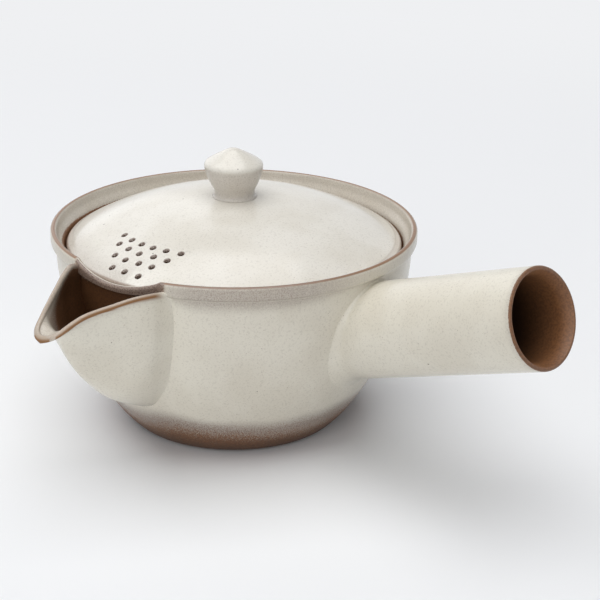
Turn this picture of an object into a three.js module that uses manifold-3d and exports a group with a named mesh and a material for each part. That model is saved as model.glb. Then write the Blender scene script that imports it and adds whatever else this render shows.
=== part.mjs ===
// A side-handled ceramic tea pot with a big open spout and a lid that sits down inside its rim.
// Millimetres, +Z up. The origin is the centre of the flat base, the spout points along -X.

import * as THREE from 'three';
import { mergeVertices } from 'three/addons/utils/BufferGeometryUtils.js';
import Module from 'manifold-3d';

const wasm = await Module();
wasm.setup();

// Bowl
const rimRadius = 55;
const bowlHeight = 60.8;
const collarHeight = 4.8;
const collarStep = 1.5;
const collarWall = 4.1;
const collarStepSlope = 0.9;
const rimWall = 2;
const rimRounding = 0.9;
const galleryMargin = 0.6;
const footRadius = 31.7;
const footRounding = 0.9;
const bodyRise = 0.85;
const bodyFullness = 1.85;
const bowlWall = 4.2;
const floorThickness = 4.5;
const floorBlendWidth = 4;
const floorBlendRise = 0.2;
const ledgeWidth = 3;
const ledgeThickness = 2.6;
const rimDipDepth = 3.5;
const rimDipWidth = 32.4;
const rimDipSideways = 0.9;

// Lid
const lidEdgeHeight = 2.8;
const lidThickness = 3;
const lidRise = 13.2;
const lidRoundness = 2.25;
const lidEdgeRounding = 0.8;
const lidSideGap = 0.5;
const lidHoleDiameter = 1.9;
const lidHoleRows = [6, 5, 4, 3];
const lidHoleRowPitch = 3.4;
const lidHoleSpacings = [4.7, 4.9, 5, 5.3];
const lidHoleEdgeMargin = 3.7;
const lidTurn = -5;

// Knob
const knobNeckRadius = 5.9;
const knobShoulderRadius = 8.8;
const knobShoulderHeight = 9.4;
const knobHeight = 14.4;
const knobFootRounding = 0.4;

// Spout
const spoutReach = 30.6;
const spoutHalfWidth = 16;
const spoutDepth = 44.3;
const spoutTipDrop = 10.9;
const spoutWall = 2.2;
const spoutKeelWall = 3.2;
const spoutTipRounding = 4.4;
const spoutSharpening = 0.72;
const sharpenFromShare = 0.1;
const sharpenToShare = 0.75;
const strainerHoleDiameter = 2.2;
const strainerRows = [3, 4, 5, 4];
const strainerRowPitch = 4.3;
const strainerHoleSpacing = 4.4;
const strainerLowestRow = 25.5;

// Handle
const handleTurn = 81;
const handleTilt = 20;
const handleRadius = 13.8;
const handleWall = 2.4;
const handleLength = 61;
const handleRootHeight = 40.5;
const handleSideOffset = 4.7;
const handleMouthRounding = 1.1;
const handleMouthBevel = 2.2;
const handleBevelWidth = 0.66;
const handleBevelEdge = 0.3;

// Clearances and mesh fineness
const jointGap = 0.3;
const seatGap = 0.3;
const turnSteps = 64;
const outlineSteps = 11;
const holeSides = 10;
const dipSides = 120;
const sectionSteps = 20;
const spoutStations = 15;
const tipStations = 6;
const edgeSteps = 4;
const knobSteps = 20;
const lowPointCrowding = 1.5;
const lidPointCrowding = 1.3;
const smallestHalfWidth = 0.25;
const smallestDepth = 0.5;
const edgeClear = 1;

// Sizes worked out from the values above
const shoulderRadius = rimRadius - collarStep;
const shoulderHeight = bowlHeight - collarHeight;
const collarInnerRadius = rimRadius - collarWall;
const rimInnerRadius = rimRadius - rimWall;
const rimEdgeRounding = Math.min(rimRounding, rimWall / 2);
const lidRadius = collarInnerRadius - lidSideGap;
const ledgeInnerRadius = collarInnerRadius - ledgeWidth;
const lidTopEdgeHeight = shoulderHeight;
const lidSeatHeight = lidTopEdgeHeight - lidEdgeHeight;
const ledgeHeight = lidSeatHeight - seatGap;
const galleryTopHeight = lidTopEdgeHeight + galleryMargin;
const lidPlugRadius = ledgeInnerRadius - jointGap;
const lidHoleOuterRow = lidRadius - lidHoleEdgeMargin;
const lidCrownHeight = lidTopEdgeHeight + lidRise;
const spoutTip = shoulderRadius + spoutReach;
const handleTiltAngle = THREE.MathUtils.degToRad(handleTilt);
const rootDepth = 3 * bowlWall;
const overcut = 5;

function vec2(x, y) {
  return new THREE.Vector2(x, y);
}

// A closed solid for cutting and joining, made from any closed geometry.
function solidFrom(geometry) {
  const bare = geometry.index ? geometry.toNonIndexed() : geometry.clone();
  bare.deleteAttribute('normal');
  bare.deleteAttribute('uv');
  const merged = mergeVertices(bare, 1e-4);
  const index = merged.index.array;
  const corners = [];
  for (let i = 0; i < index.length; i += 3) {
    const [a, b, c] = [index[i], index[i + 1], index[i + 2]];
    if (a !== b && b !== c && c !== a) corners.push(a, b, c);
  }
  const place = merged.attributes.position.array;
  if (signedVolume(place, corners) < 0) {
    for (let i = 0; i < corners.length; i += 3) {
      [corners[i + 1], corners[i + 2]] = [corners[i + 2], corners[i + 1]];
    }
  }
  return new wasm.Manifold(new wasm.Mesh({
    numProp: 3,
    vertProperties: Float32Array.from(place),
    triVerts: Uint32Array.from(corners),
  }));
}

function signedVolume(place, corners) {
  const at = (i) => new THREE.Vector3(place[3 * i], place[3 * i + 1], place[3 * i + 2]);
  let sum = 0;
  for (let i = 0; i < corners.length; i += 3) {
    sum += at(corners[i]).dot(at(corners[i + 1]).cross(at(corners[i + 2])));
  }
  return sum / 6;
}

function geometryFrom(solid) {
  const mesh = solid.getMesh();
  const geometry = new THREE.BufferGeometry();
  geometry.setAttribute('position', new THREE.BufferAttribute(Float32Array.from(mesh.vertProperties), 3));
  geometry.setIndex(new THREE.BufferAttribute(Uint32Array.from(mesh.triVerts), 1));
  geometry.computeVertexNormals();
  return geometry;
}

// A solid of revolution round Z, from an outline of (radius, height) points.
function turned(outline, steps = turnSteps) {
  const geometry = new THREE.LatheGeometry(outline, steps);
  geometry.rotateX(Math.PI / 2);
  return solidFrom(geometry);
}

// A solid through closed sections that all have the same number of points.
function lofted(sections) {
  const count = sections[0].length;
  const place = sections.flat().flatMap((p) => [p.x, p.y, p.z]);
  const corners = [];
  for (let i = 0; i + 1 < sections.length; i += 1) {
    for (let j = 0; j < count; j += 1) {
      const k = (j + 1) % count;
      const [a, b, c, d] = [i * count + j, i * count + k, (i + 1) * count + k, (i + 1) * count + j];
      corners.push(a, b, c, a, c, d);
    }
  }
  const last = (sections.length - 1) * count;
  for (let j = 1; j + 1 < count; j += 1) {
    corners.push(0, j + 1, j);
    corners.push(last, last + j, last + j + 1);
  }
  const geometry = new THREE.BufferGeometry();
  geometry.setAttribute('position', new THREE.Float32BufferAttribute(place, 3));
  geometry.setIndex(corners);
  return solidFrom(geometry);
}

// A smooth function through [x, y] pairs, level before the first of them.
function curveThrough(pairs) {
  const slope = pairs.map((_, i) => {
    const [a, b] = [pairs[Math.max(i - 1, 0)], pairs[Math.min(i + 1, pairs.length - 1)]];
    return (b[1] - a[1]) / (b[0] - a[0]);
  });
  return (x) => {
    let i = 0;
    while (i + 2 < pairs.length && x > pairs[i + 1][0]) i += 1;
    const [[x0, y0], [x1, y1]] = [pairs[i], pairs[i + 1]];
    const span = x1 - x0;
    const t = (x - x0) / span;
    if (t < 0) return y0;
    const [t2, t3] = [t * t, t * t * t];
    return (2 * t3 - 3 * t2 + 1) * y0 + (t3 - 2 * t2 + t) * span * slope[i]
      + (3 * t2 - 2 * t3) * y1 + (t3 - t2) * span * slope[i + 1];
  };
}

// Points of a quarter circle between two directions, for rounding an edge of an outline.
function rounding(centreX, centreY, radius, fromAngle, toAngle) {
  const points = [];
  for (let i = 0; i <= edgeSteps; i += 1) {
    const angle = THREE.MathUtils.degToRad(fromAngle + ((toAngle - fromAngle) * i) / edgeSteps);
    points.push(vec2(centreX + radius * Math.cos(angle), centreY + radius * Math.sin(angle)));
  }
  return points;
}

// The thrown body curve: radius of the outside at a height, foot to shoulder.
function bodyRadiusAt(height) {
  const share = Math.min(Math.max(height / shoulderHeight, 0), 1);
  const swell = 1 - (1 - share ** bodyRise) ** bodyFullness;
  return footRadius + (shoulderRadius - footRadius) * swell;
}

function bodyHeightAt(step) {
  return footRounding + (step / outlineSteps) ** lowPointCrowding * (shoulderHeight - footRounding);
}

function bodyOutline(grow) {
  const points = [];
  for (let i = 0; i <= outlineSteps; i += 1) {
    const height = bodyHeightAt(i);
    points.push(vec2(bodyRadiusAt(height) + grow, height));
  }
  return points;
}

// The inside of the bowl: the body curve moved in along its normal by the wall.
function innerOutline() {
  const points = [];
  const reach = footRounding / 2;
  const lowest = floorThickness + floorBlendRise + edgeClear;
  const highest = ledgeHeight - ledgeThickness - 2 * edgeClear;
  for (let i = 0; i <= outlineSteps; i += 1) {
    const height = bodyHeightAt(i);
    const slope = (bodyRadiusAt(height + reach) - bodyRadiusAt(height - reach)) / (2 * reach);
    const length = Math.hypot(1, slope);
    const point = vec2(bodyRadiusAt(height) - bowlWall / length, height + (bowlWall * slope) / length);
    if (point.y > lowest && point.y < highest) points.push(point);
  }
  return points.reverse();
}

function bowlSolid() {
  const inner = innerOutline();
  const floorEdge = inner[inner.length - 1];
  const outline = [
    vec2(0, 0),
    vec2(footRadius - footRounding, 0),
    ...bodyOutline(0),
    vec2(rimRadius, shoulderHeight + collarStepSlope),
    ...rounding(rimRadius - rimEdgeRounding, bowlHeight - rimEdgeRounding, rimEdgeRounding, 0, 90),
    ...rounding(rimInnerRadius + rimEdgeRounding, bowlHeight - rimEdgeRounding, rimEdgeRounding, 90, 180),
    vec2(collarInnerRadius, galleryTopHeight),
    vec2(collarInnerRadius, ledgeHeight),
    vec2(ledgeInnerRadius, ledgeHeight),
    vec2(ledgeInnerRadius, ledgeHeight - ledgeThickness),
    ...inner,
    vec2(floorEdge.x - floorBlendWidth, floorThickness + floorBlendRise),
    vec2(0, floorThickness),
  ];
  return turned(outline);
}

// Behind the spout the rim dips in a shallow arc, and the collar carries on below it.
function rimDip() {
  const half = rimDipWidth / 2;
  const radius = (half * half + rimDipDepth * rimDipDepth) / (2 * rimDipDepth);
  const arc = new THREE.CylinderGeometry(radius, radius, rimRadius, dipSides);
  arc.rotateZ(Math.PI / 2);
  arc.translate(-rimRadius, rimDipSideways, bowlHeight - rimDipDepth + radius);
  return solidFrom(arc);
}

// Tea passes to the spout through holes pierced in the wall behind it.
function strainerHoles() {
  const holes = [];
  strainerRows.forEach((count, row) => {
    const height = strainerLowestRow + row * strainerRowPitch;
    const wallRadius = bodyRadiusAt(height);
    for (let i = 0; i < count; i += 1) {
      const sideways = (i - (count - 1) / 2) * strainerHoleSpacing;
      const hole = new THREE.CylinderGeometry(
        strainerHoleDiameter / 2, strainerHoleDiameter / 2, rootDepth, holeSides,
      );
      hole.rotateZ(Math.PI / 2);
      hole.translate(-wallRadius + bowlWall / 2, 0, height);
      hole.rotateZ(-sideways / wallRadius);
      holes.push(solidFrom(hole));
    }
  });
  return holes;
}

function makeBowl() {
  let bowl = bowlSolid().subtract(rimDip());
  for (const hole of strainerHoles()) bowl = bowl.subtract(hole);
  return bowl;
}

// The filled outside of the bowl plus the joint gap, which the spout and handle are cut by.
function bowlEnvelope() {
  const wide = rimRadius + jointGap;
  const outline = [
    vec2(0, -overcut),
    vec2(footRadius + jointGap, -overcut),
    ...bodyOutline(jointGap),
    vec2(wide, shoulderHeight + collarStepSlope - jointGap),
    vec2(wide, bowlHeight + overcut),
    vec2(0, bowlHeight + overcut),
  ];
  return turned(outline);
}

// Shares of the spout's reach, measured out from the bowl's shoulder, against shares of its sizes.
const widthAlong = curveThrough([
  [-0.4, 1], [0.1, 1.01], [0.41, 0.75], [0.67, 0.494], [0.86, 0.33], [1, 0.28],
]);
const nearLipDropAlong = curveThrough([
  [-0.4, 0.2], [-0.05, 0.22], [0.1, 0.16], [0.25, 0.155], [0.41, 0.23],
  [0.67, 0.38], [0.83, 0.6], [0.95, 0.8], [1, 0.88],
]);
const farLipDropAlong = curveThrough([
  [-0.4, 0.04], [0.05, 0.06], [0.19, 0.19], [0.36, 0.3], [0.56, 0.41],
  [0.74, 0.53], [0.86, 0.67], [0.95, 0.81], [1, 0.88],
]);
const keelAlong = curveThrough([
  [-0.3, 1], [0, 0.893], [0.186, 0.808], [0.32, 0.713], [0.441, 0.641], [0.529, 0.569],
  [0.637, 0.463], [0.703, 0.375], [0.752, 0.305], [0.807, 0.262], [0.88, 0.25], [1, 0.247],
]);
const keelWallAlong = curveThrough([
  [-0.3, 0.85], [0.3, 0.95], [0.6, 1], [0.75, 0.8], [0.85, 0.62], [1, 0.2],
]);

// Near the bowl the sections are half ellipses. Towards the tip they sharpen to a soft V.
function sectionPower(share) {
  const sharp = THREE.MathUtils.smoothstep(share, sharpenFromShare, sharpenToShare);
  return 2 / (2 - spoutSharpening * sharp);
}

// The lips were cut by hand: the far one, on the +Y side, starts higher on the collar.
function spoutSection(distance, inset, keelInset, raise) {
  const share = (distance - shoulderRadius) / spoutReach;
  const power = sectionPower(share);
  const roundFrom = spoutTip - inset - spoutTipRounding;
  const into = Math.max(0, (distance - roundFrom) / spoutTipRounding);
  const pinch = Math.sqrt(Math.max(0, 1 - into * into));
  const halfWidth = Math.max((spoutHalfWidth * widthAlong(share) - inset) * pinch, smallestHalfWidth);
  const nearLip = bowlHeight - spoutTipDrop * nearLipDropAlong(share);
  const farLip = bowlHeight - spoutTipDrop * farLipDropAlong(share);
  const floor = bowlHeight - spoutDepth * keelAlong(share) + keelInset * keelWallAlong(share);
  const keel = Math.min(floor, nearLip - smallestDepth);
  const points = [];
  for (let i = 0; i <= sectionSteps; i += 1) {
    const angle = (Math.PI * i) / sectionSteps;
    const side = Math.cos(angle);
    const lip = side > 0 ? farLip : nearLip;
    const y = halfWidth * Math.sign(side) * Math.abs(side) ** power;
    points.push(new THREE.Vector3(-distance, y, lip - (lip - keel) * Math.sin(angle) ** power));
  }
  if (raise > 0) {
    points.push(new THREE.Vector3(-distance, -halfWidth, nearLip + raise));
    points.push(new THREE.Vector3(-distance, halfWidth, farLip + raise));
  }
  return points;
}

// The spout's outside, or its hollow when it is inset by the wall and raised past the lip.
function spoutHull(inset, keelInset, raise) {
  const start = shoulderRadius - rootDepth;
  const roundFrom = spoutTip - inset - spoutTipRounding;
  const stations = [];
  for (let i = 0; i < spoutStations; i += 1) {
    stations.push(start + ((roundFrom - start) * i) / spoutStations);
  }
  for (let i = 0; i <= tipStations; i += 1) {
    stations.push(roundFrom + spoutTipRounding * Math.sin((Math.PI / 2) * (i / tipStations)));
  }
  return lofted(stations.map((distance) => spoutSection(distance, inset, keelInset, raise)));
}

function makeSpout() {
  const hollow = spoutHull(spoutWall, spoutKeelWall, overcut);
  return spoutHull(0, 0, 0).subtract(hollow).subtract(bowlEnvelope());
}

// The handle is a tube open at its end, so its outline closes on itself clear of the axis.
function makeHandle() {
  const boreRadius = handleRadius - handleWall;
  const mouth = rounding(
    handleRadius - handleMouthRounding, handleLength - handleMouthRounding, handleMouthRounding, 0, 90,
  );
  const outline = [
    vec2(boreRadius, -rootDepth),
    vec2(handleRadius, -rootDepth),
    ...mouth,
    vec2(boreRadius + handleBevelWidth, handleLength - handleBevelEdge),
    vec2(boreRadius, handleLength - handleMouthBevel),
    vec2(boreRadius, -rootDepth),
  ];
  const geometry = new THREE.LatheGeometry(outline, turnSteps / 2);
  geometry.translate(0, shoulderRadius / Math.cos(handleTiltAngle), 0);
  geometry.rotateX(handleTiltAngle);
  geometry.rotateZ(Math.PI / 2);
  const drop = shoulderRadius * Math.tan(handleTiltAngle);
  geometry.translate(0, -handleSideOffset, handleRootHeight - drop);
  geometry.rotateZ(THREE.MathUtils.degToRad(handleTurn));
  return solidFrom(geometry).subtract(bowlEnvelope());
}

function lidTopAt(radius) {
  return lidTopEdgeHeight + lidRise * (1 - (radius / lidRadius) ** lidRoundness);
}

function lidSolid() {
  const top = [];
  const under = [];
  for (let i = 0; i <= outlineSteps; i += 1) {
    const share = (i / outlineSteps) ** lidPointCrowding;
    const topRadius = (lidRadius - lidEdgeRounding) * (1 - share);
    top.push(vec2(topRadius, lidTopAt(topRadius)));
    const underRadius = lidPlugRadius * (1 - share);
    under.push(vec2(underRadius, Math.max(lidTopAt(underRadius) - lidThickness, lidSeatHeight)));
  }
  const edgeRadius = lidRadius - lidEdgeRounding;
  const outline = [
    ...under.reverse(),
    vec2(lidPlugRadius, lidSeatHeight),
    ...rounding(edgeRadius, lidSeatHeight + lidEdgeRounding, lidEdgeRounding, -90, 0),
    vec2(lidRadius, lidTopEdgeHeight - lidEdgeRounding / 2),
    ...top,
  ];
  return turned(outline);
}

// Rows of holes on arcs round the lid's centre, one hole fewer in each row towards the edge.
function lidHoles() {
  const holes = [];
  lidHoleRows.forEach((count, row) => {
    const radius = lidHoleOuterRow - (lidHoleRows.length - 1 - row) * lidHoleRowPitch;
    for (let i = 0; i < count; i += 1) {
      const sideways = (i - (count - 1) / 2) * lidHoleSpacings[row];
      const hole = new THREE.CylinderGeometry(
        lidHoleDiameter / 2, lidHoleDiameter / 2, 2 * lidRise + 2 * lidThickness, holeSides,
      );
      hole.rotateX(Math.PI / 2);
      hole.translate(-radius, 0, lidTopEdgeHeight);
      hole.rotateZ(THREE.MathUtils.degToRad(lidTurn) - sideways / radius);
      holes.push(solidFrom(hole));
    }
  });
  return holes;
}

function makeLid() {
  let lid = lidSolid();
  for (const hole of lidHoles()) lid = lid.subtract(hole);
  return lid;
}

// A flared neck under a low cone with a softly rounded shoulder. The pairs are shares of the
// flare and of the height, first up to the shoulder and then from there to the tip.
const knobFlare = [[0.1, 0.15], [0.5, 0.48], [0.86, 0.8], [1, 1]];
const knobCone = [[0.97, 0.14], [0.86, 0.3], [0.5, 0.66], [0.2, 0.93], [0.07, 0.99]];

function makeKnob() {
  const base = lidCrownHeight + seatGap;
  const shoulder = base + knobShoulderHeight;
  const top = base + knobHeight;
  const flare = knobShoulderRadius - knobNeckRadius;
  const side = new THREE.SplineCurve([
    vec2(knobNeckRadius, base + knobFootRounding / 2),
    ...knobFlare.map(([out, up]) => vec2(knobNeckRadius + flare * out, base + knobShoulderHeight * up)),
    ...knobCone.map(([out, up]) => vec2(knobShoulderRadius * out, shoulder + (top - shoulder) * up)),
  ]);
  const foot = vec2(knobNeckRadius - knobFootRounding, base);
  const outline = [vec2(0, base), foot, ...side.getPoints(knobSteps), vec2(0, top)];
  return turned(outline, turnSteps / 2);
}

function piece(name, solid, colour, roughness) {
  const material = new THREE.MeshStandardMaterial({ color: colour, roughness, metalness: 0 });
  const mesh = new THREE.Mesh(geometryFrom(solid), material);
  mesh.name = name;
  return mesh;
}

const group = new THREE.Group();
group.add(piece('bowl', makeBowl(), '#d3cbbd', 0.32));
group.add(piece('spout', makeSpout(), '#d3cbbd', 0.32));
group.add(piece('handle', makeHandle(), '#cfc6b7', 0.32));
group.add(piece('lid', makeLid(), '#ded8cc', 0.3));
group.add(piece('knob', makeKnob(), '#d6cfc1', 0.3));

export default group;
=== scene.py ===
import bisect
import random
import bmesh
import bpy
from math import atan2, copysign, cos, degrees, exp, hypot, pi, radians, sin, sqrt, tan
from mathutils import Matrix, Vector, noise


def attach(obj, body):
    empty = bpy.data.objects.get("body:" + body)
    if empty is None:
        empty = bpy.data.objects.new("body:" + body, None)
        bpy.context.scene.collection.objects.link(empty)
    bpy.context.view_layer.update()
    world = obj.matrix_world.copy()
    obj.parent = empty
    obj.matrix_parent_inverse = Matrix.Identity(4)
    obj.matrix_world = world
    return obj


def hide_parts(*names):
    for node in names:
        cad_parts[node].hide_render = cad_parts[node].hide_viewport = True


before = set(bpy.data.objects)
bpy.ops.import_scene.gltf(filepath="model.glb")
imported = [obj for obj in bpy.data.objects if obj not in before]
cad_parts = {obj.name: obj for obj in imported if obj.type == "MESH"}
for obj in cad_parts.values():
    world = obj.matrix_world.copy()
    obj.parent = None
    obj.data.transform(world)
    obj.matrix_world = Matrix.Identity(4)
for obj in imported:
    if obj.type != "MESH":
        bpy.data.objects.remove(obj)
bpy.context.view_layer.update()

mm = 0.001

# The pot stands at the origin on its flat base. The spout points along -X and the handle near -Y.
# All sizes below are in millimetres, unless a note says metres.


def smooth(low, high, x):
    t = min(max((x - low) / (high - low), 0.0), 1.0)
    return t * t * (3.0 - 2.0 * t)


def between(rise, fall, x):
    # 1 inside a stretch and 0 outside it, with a soft edge at each end
    return smooth(*rise, x) * (1.0 - smooth(*fall, x))


def mix(a, b, share):
    return a + (b - a) * share


def shift(start, end, edges, x):
    # from one value to another, softly between two edges
    return mix(start, end, smooth(*edges, x))


def curve(pairs):
    places = [p[0] for p in pairs]
    last = len(pairs) - 1
    neighbours = zip(pairs[:1] + pairs, pairs[1:] + pairs[-1:])
    slopes = [(b[1] - a[1]) / (b[0] - a[0]) for a, b in neighbours]

    def at(x):
        i = min(max(bisect.bisect_right(places, x) - 1, 0), last - 1)
        (x0, y0), (x1, y1) = pairs[i], pairs[i + 1]
        span = x1 - x0
        t = min(max((x - x0) / span, 0.0), 1.0)
        t2, t3 = t * t, t * t * t
        return ((2 * t3 - 3 * t2 + 1) * y0 + (t3 - 2 * t2 + t) * span * slopes[i]
                + (3 * t2 - 2 * t3) * y1 + (t3 - t2) * span * slopes[i + 1])

    return at


def arc(cx, cy, radius, fromAngle, toAngle, steps=5):
    points = []
    for i in range(steps + 1):
        a = radians(fromAngle + (toAngle - fromAngle) * i / steps)
        points.append((cx + radius * cos(a), cy + radius * sin(a)))
    return points


def bend(start, corner, end, count):
    # a soft corner, without its last point
    points = []
    for i in range(count):
        t = i / count
        points.append(start * (1 - t) ** 2 + corner * 2 * t * (1 - t) + end * t * t)
    return points


def seamBetween(low, high, pointAt, radiusAt):
    # how far along a line it leaves the body, found by halving
    halvings = 36
    for _ in range(halvings):
        middle = (low + high) / 2
        p = pointAt(middle)
        if hypot(p.x, p.y) > radiusAt(p.z):
            high = middle
        else:
            low = middle
    return high


def addObject(name, mesh):
    piece = bpy.data.objects.new(name, mesh)
    bpy.context.scene.collection.objects.link(piece)
    return piece


def outward(piece):
    # seams and poles are merged, then every face is turned outwards
    seamGap = 0.002
    shortestEdge = 0.001
    work = bmesh.new()
    work.from_mesh(piece.data)
    bmesh.ops.remove_doubles(work, verts=work.verts, dist=seamGap * mm)
    bmesh.ops.dissolve_degenerate(work, edges=work.edges, dist=shortestEdge * mm)
    bmesh.ops.recalc_face_normals(work, faces=work.faces)
    work.to_mesh(piece.data)
    work.free()


def meshPiece(name, points, faces):
    mesh = bpy.data.meshes.new(name)
    mesh.from_pydata([tuple(c * mm for c in p) for p in points], [], faces)
    mesh.validate()
    piece = addObject(name, mesh)
    outward(piece)
    return piece


def facesBetween(rows, size, closed):
    # between each row of points and the next, and from the last row back to the first
    faces = []
    for k in range(rows):
        a, b = k * size, (k + 1) % rows * size
        for i in range(size if closed else size - 1):
            j = (i + 1) % size
            faces.append((a + i, a + j, b + j, b + i))
    return faces


def fromAxis(point, start, direction):
    # how far a point lies from a line
    away = point - start
    return (away - direction * away.dot(direction)).length


def evaluatedMesh(piece):
    shapes = bpy.context.evaluated_depsgraph_get()
    shapes.update()
    return bpy.data.meshes.new_from_object(piece.evaluated_get(shapes))


def emptyTree(owner):
    owner.use_nodes = True
    owner.node_tree.nodes.clear()
    return owner.node_tree


def add(tree, kind, inputs=None, **settings):
    # an input is a value, or the output of another node
    node = tree.nodes.new(kind)
    for key, value in settings.items():
        setattr(node, key, value)
    for key, value in (inputs or {}).items():
        if hasattr(value, "is_output"):
            tree.links.new(value, node.inputs[key])
        else:
            node.inputs[key].default_value = value
    return node


def calc(tree, operation, *values):
    return add(tree, "ShaderNodeMath", dict(enumerate(values)), operation=operation).outputs[0]


def ramp(tree, value, low, high, toLow=0.0, toHigh=1.0):
    inputs = {"Value": value, "From Min": low, "From Max": high, "To Min": toLow, "To Max": toHigh}
    return add(tree, "ShaderNodeMapRange", inputs, interpolation_type="SMOOTHSTEP").outputs[0]


def linear(hexColour):
    out = []
    for i in (0, 2, 4):
        c = int(hexColour[i:i + 2], 16) / 255
        out.append(c / 12.92 if c <= 0.04045 else ((c + 0.055) / 1.055) ** 2.4)
    return (out[0], out[1], out[2], 1.0)


print("glaze and clay")
# Iron-speckled stoneware under a thin satin cream glaze, dipped and fired in oxidation.
# It looks soft and milky, breaks to a sandy veil where the glaze ran thin, and shows tiny iron specks.
# Where the glaze was wiped off, the fired clay is a matt warm brown.
glaze = dict(
    cream="dfdacc", shade="d8d2c3", speck="857b6c", pit="4b3c30", veil="84736a", wash="835a32",
    # umber, near black, darkens bare clay; it is mostly painted shade in hollows and recesses
    clay="8c603d", clayShade="704b31", umberAndShade="1e120b",
    roughness=0.24, clayRoughness=0.45, ior=1.5,
    cloudSize=18.0, cloudDetail=3.0, cloudAt=(0.35, 0.65),
    grainSize=0.6, grainAt=(0.5, 0.74), grainStrength=0.19, clayGrainAt=(0.3, 0.75),
    # the size of the cells, the share of them with a speck, its radius, softness and strength
    specks=(0.8, 0.13, 0.17, 0.06, 0.3), pits=(4.0, 0.6, 0.08, 0.03, 0.7),
    ditherSize=0.32, ditherDetail=1.0, ditherGain=3.0, veilAt=(-0.5, 0.5), thinnestVeil=0.6,
    clayGain=1.6, clayAt=(0.6, 1.0), peelSize=1.6, peelDepth=0.06, peelStrength=0.25,
)
# The lid and its knob carry the same glaze, painted whiter as the light and reflection on their upturned
# tops.
lidGlazePaintedLighter = dict(glaze, cream="e2ded5", shade="dad5ca", roughness=0.19)
paintLayers = ("clay", "veil", "umberAndShade", "wash")


def glazeMaterial(name, g):
    material = bpy.data.materials.new(name)
    tree = emptyTree(material)
    place = add(tree, "ShaderNodeTexCoord").outputs["Object"]

    def pattern(size, detail=2.0):
        inputs = {"Scale": 1.0 / mm / size, "Detail": detail, "Vector": place}
        return add(tree, "ShaderNodeTexNoise", inputs).outputs["Fac"]

    def blend(factor, *tones):
        a, b = (linear(tone) if isinstance(tone, str) else tone for tone in tones)
        inputs = {"Factor": factor, "A": a, "B": b}
        return add(tree, "ShaderNodeMix", inputs, data_type="RGBA").outputs["Result"]

    def specks(size, share, radius, softness, strength):
        # one speck in some of the cells, each with its own size
        cells = add(tree, "ShaderNodeTexVoronoi", {"Scale": 1.0 / mm / size, "Vector": place})
        chance = add(tree, "ShaderNodeSeparateColor", {0: cells.outputs["Color"]})
        chosen = calc(tree, "LESS_THAN", chance.outputs[0], share)
        wide = ramp(tree, chance.outputs[1], 0.0, 1.0, radius * 0.5, radius)
        near = calc(tree, "SUBTRACT", wide, cells.outputs["Distance"])
        spots = calc(tree, "MULTIPLY", ramp(tree, near, 0.0, softness), chosen)
        return calc(tree, "MULTIPLY", spots, strength)

    cloud = pattern(g["cloudSize"], g["cloudDetail"])
    grain = pattern(g["grainSize"])
    dither = pattern(g["ditherSize"], g["ditherDetail"])
    paint = {}
    for layer in paintLayers:
        paint[layer] = add(tree, "ShaderNodeAttribute", attribute_name=layer).outputs["Fac"]
    tone = blend(ramp(tree, cloud, *g["cloudAt"]), g["cream"], g["shade"])
    tone = blend(ramp(tree, grain, *g["grainAt"], 0.0, g["grainStrength"]), tone, g["speck"])
    tone = blend(specks(*g["specks"]), tone, g["speck"])
    tone = blend(specks(*g["pits"]), tone, g["pit"])
    tone = blend(paint["wash"], tone, g["wash"])
    speckle = calc(tree, "MULTIPLY_ADD", dither, g["ditherGain"], -g["ditherGain"] / 2)
    ragged = ramp(tree, speckle, *g["veilAt"], g["thinnestVeil"], 1.0)
    tone = blend(calc(tree, "MULTIPLY", ragged, paint["veil"]), tone, g["veil"])
    clay = blend(ramp(tree, grain, *g["clayGrainAt"]), g["clay"], g["clayShade"])
    # the bare clay darkens towards umber where painted shade is laid on
    clay = blend(paint["umberAndShade"], clay, g["umberAndShade"])
    patchy = calc(tree, "ADD", calc(tree, "MULTIPLY", paint["clay"], g["clayGain"]), speckle)
    clayMask = ramp(tree, patchy, *g["clayAt"])
    bump = add(tree, "ShaderNodeBump", {
        "Strength": g["peelStrength"], "Distance": g["peelDepth"] * mm, "Height": pattern(g["peelSize"])})
    skin = add(tree, "ShaderNodeBsdfPrincipled", {
        "Base Color": blend(clayMask, tone, clay), "IOR": g["ior"], "Normal": bump.outputs[0],
        "Roughness": ramp(tree, clayMask, 0.0, 1.0, g["roughness"], g["clayRoughness"])})
    add(tree, "ShaderNodeOutputMaterial", {0: skin.outputs[0]})
    return material


cream = glazeMaterial("satin_cream_glazed_stoneware", glaze)
lidCreamPaintedLighter = glazeMaterial("satin_cream_glaze_painted_lighter", lidGlazePaintedLighter)


def paint(piece, paintAt):
    # paintAt gives each point its bare clay, thin veil of glaze, dark umber that mostly stands in for
    # painted shade, and brown wash
    painted = [paintAt(vertex.co / mm) for vertex in piece.data.vertices]
    for i, name in enumerate(paintLayers):
        layer = piece.data.attributes.new(name, "FLOAT", "POINT")
        layer.data.foreach_set("value", [values[i] for values in painted])


def newTree(name, inputs):
    # all inputs but the first are set later, by their identifiers
    tree = bpy.data.node_groups.new(name, "GeometryNodeTree")
    identifiers = []
    for label, kind in inputs.items():
        socket = tree.interface.new_socket(label, in_out="INPUT", socket_type="NodeSocket" + kind)
        identifiers.append(socket.identifier)
    tree.interface.new_socket("Geometry", in_out="OUTPUT", socket_type="NodeSocketGeometry")
    return tree, add(tree, "NodeGroupInput").outputs, identifiers[1:]


def finishTree(tree, shape, coat):
    real = add(tree, "GeometryNodeRealizeInstances", {"Geometry": shape})
    coated = add(tree, "GeometryNodeSetMaterial", {"Geometry": real.outputs[0], "Material": coat})
    add(tree, "NodeGroupOutput", {0: coated.outputs[0]})


def runTree(tree, inputs, mesh, values):
    holder = addObject(mesh.name, mesh)
    modifier = holder.modifiers.new(tree.name, "NODES")
    modifier.node_group = tree
    for name, value in zip(inputs, values):
        modifier[name] = value
    done = evaluatedMesh(holder)
    bpy.data.objects.remove(holder)
    return done


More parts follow.
